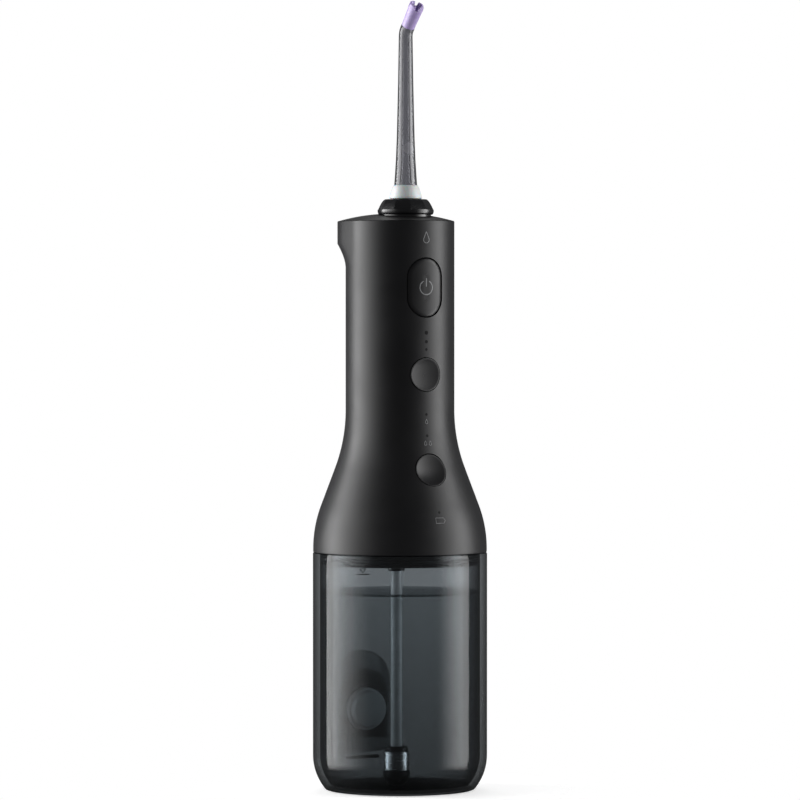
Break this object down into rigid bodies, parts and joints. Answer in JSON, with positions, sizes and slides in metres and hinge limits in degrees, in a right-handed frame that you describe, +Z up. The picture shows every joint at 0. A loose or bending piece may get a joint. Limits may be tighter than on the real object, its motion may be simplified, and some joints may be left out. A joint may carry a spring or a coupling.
{
  "type": "water flosser",
  "caption": "Cordless water flosser: a flared handle standing on its own smoked tank, with a bent jet nozzle, front buttons and a weighted intake hose.",
  "frame": {"origin": "centre of the tank's flat underside, on the handle's axis", "axes": "+Z up along the handle, the buttons face -Y, the finger hook and fill door face +Y"},
  "size_m": [0.071, 0.071, 0.3215],
  "materials": {
    "soft_touch_black": "soft-touch",
    "gloss_black": "satin",
    "black_rubber": "matte",
    "smoked_plastic": "clear, smoked",
    "smoked_tube": "clear, smoked",
    "frosted_plastic": "frosted",
    "lilac_silicone": "soft",
    "clear_tubing": "translucent",
    "indicator_lens": "polished",
    "white_nylon": "moulded",
    "frame_plastic": "moulded",
    "circuit_green": "laminate",
    "bright_steel": "ground",
    "polished_steel": "polished",
    "zinc_steel": "plated",
    "ferrite": "sintered",
    "cell_wrap": "shrink wrap",
    "seal_rubber": "matte",
    "brass": "turned"
  },
  "bodies": {
    "handle": {"handle_shell": "soft_touch_black", "top_cover": "soft_touch_black", "base_plate": "gloss_black", "tank_seal": "seal_rubber", "inner_frame": "frame_plastic", "motor_can": "zinc_steel", "motor_end_bell": "white_nylon", "motor_magnets": "ferrite", "gear_axle": "bright_steel", "pump_cylinder": "white_nylon", "valve_head": "white_nylon", "suction_tube": "clear_tubing", "pressure_tube": "clear_tubing", "nozzle_socket": "white_nylon", "nozzle_socket_seal": "seal_rubber", "battery_cell": "cell_wrap", "battery_tabs": "zinc_steel", "circuit_board": "circuit_green", "tact_switches": "gloss_black", "indicator_lenses": "indicator_lens", "charge_socket": "bright_steel", "charge_board": "circuit_green", "casing_screws": "zinc_steel", "intake_hose": "clear_tubing", "hose_collar": "gloss_black", "hose_weight": "polished_steel", "inlet_strainer": "black_rubber", "inlet_valve_spring": "bright_steel", "outlet_valve_spring": "bright_steel"},
    "power_button": {"power_button": "soft_touch_black"},
    "intensity_button": {"intensity_button": "soft_touch_black"},
    "mode_button": {"mode_button": "soft_touch_black"},
    "release_button": {"release_button": "gloss_black", "nozzle_latch": "white_nylon", "release_spring": "bright_steel"},
    "collar": {"nozzle_collar": "gloss_black"},
    "nozzle": {"nozzle_foot": "frosted_plastic", "nozzle_shaft": "smoked_tube", "jet_tip": "lilac_silicone"},
    "charge_flap": {"charge_port_flap": "black_rubber"},
    "crank": {"crank_gear": "white_nylon"},
    "rotor": {"motor_rotor": "ferrite", "motor_shaft": "bright_steel", "motor_pinion": "brass"},
    "rod": {"connecting_rod": "white_nylon"},
    "piston": {"piston": "white_nylon", "wrist_pin": "bright_steel", "piston_seal": "seal_rubber"},
    "inlet_valve": {"inlet_valve_ball": "bright_steel"},
    "outlet_valve": {"outlet_valve_ball": "bright_steel"},
    "tank": {"reservoir": "smoked_plastic", "fill_door_pin": "bright_steel"},
    "fill_door": {"fill_door": "gloss_black", "fill_door_seal": "seal_rubber"}
  },
  "joints": [
    {"name": "power_press", "type": "slide", "parent": "handle", "child": "power_button", "axis": [0, 1, 0], "range_m": [0, 0.0005], "stiffness_N_per_m": 600},
    {"name": "intensity_press", "type": "slide", "parent": "handle", "child": "intensity_button", "axis": [0, 1, 0], "range_m": [0, 0.0005], "stiffness_N_per_m": 600},
    {"name": "mode_press", "type": "slide", "parent": "handle", "child": "mode_button", "axis": [0, 0.9367, -0.3502], "range_m": [0, 0.0005], "stiffness_N_per_m": 600},
    {"name": "release_press", "type": "slide", "parent": "handle", "child": "release_button", "axis": [0, -1, 0], "range_m": [0, 0.0016], "stiffness_N_per_m": 500, "deforming": ["release_spring"]},
    {"name": "collar_turn", "type": "hinge", "parent": "handle", "child": "collar", "pos_m": [0, -0.0048, 0.236], "axis": [0, 0, 1], "continuous": true},
    {"name": "nozzle_pull", "type": "slide", "parent": "collar", "child": "nozzle", "axis": [0, 0, 1], "range_m": [0, 0.03]},
    {"name": "flap_swing", "type": "hinge", "parent": "handle", "child": "charge_flap", "pos_m": [0, 0.035, 0.1048], "axis": [-1, 0, 0], "range_deg": [0, 100]},
    {"name": "crank_spin", "type": "hinge", "parent": "handle", "child": "crank", "pos_m": [0, -0.012, 0.1372], "axis": [0, 1, 0], "continuous": true},
    {"name": "motor_spin", "type": "hinge", "parent": "handle", "child": "rotor", "pos_m": [0, 0.008, 0.11905], "axis": [0, 1, 0], "continuous": true},
    {"name": "rod_turn", "type": "hinge", "parent": "crank", "child": "rod", "pos_m": [0, -0.0054, 0.1358], "axis": [0, 1, 0], "continuous": true},
    {"name": "piston_stroke", "type": "slide", "parent": "handle", "child": "piston", "axis": [0, 0, 1], "range_m": [0, 0.0028]},
    {"name": "inlet_lift", "type": "slide", "parent": "handle", "child": "inlet_valve", "axis": [0, 0, 1], "range_m": [0, 0.0008], "stiffness_N_per_m": 20, "springref_m": -0.0005, "deforming": ["inlet_valve_spring"]},
    {"name": "outlet_lift", "type": "slide", "parent": "handle", "child": "outlet_valve", "axis": [0, 0, 1], "range_m": [0, 0.0008], "stiffness_N_per_m": 20, "springref_m": -0.0005, "deforming": ["outlet_valve_spring"]},
    {"name": "tank_pull", "type": "slide", "parent": "handle", "child": "tank", "axis": [0, 0, -1], "range_m": [0, 0.115]},
    {"name": "fill_door_swing", "type": "hinge", "parent": "tank", "child": "fill_door", "pos_m": [0, 0.0332, 0.0108], "axis": [-1, 0, 0], "range_deg": [0, 95]}
  ],
  "couplings": [
    {"joint": "motor_spin", "follows": "crank_spin", "ratio": -5},
    {"joint": "rod_turn", "follows": "crank_spin", "ratio": -1}
  ]
}
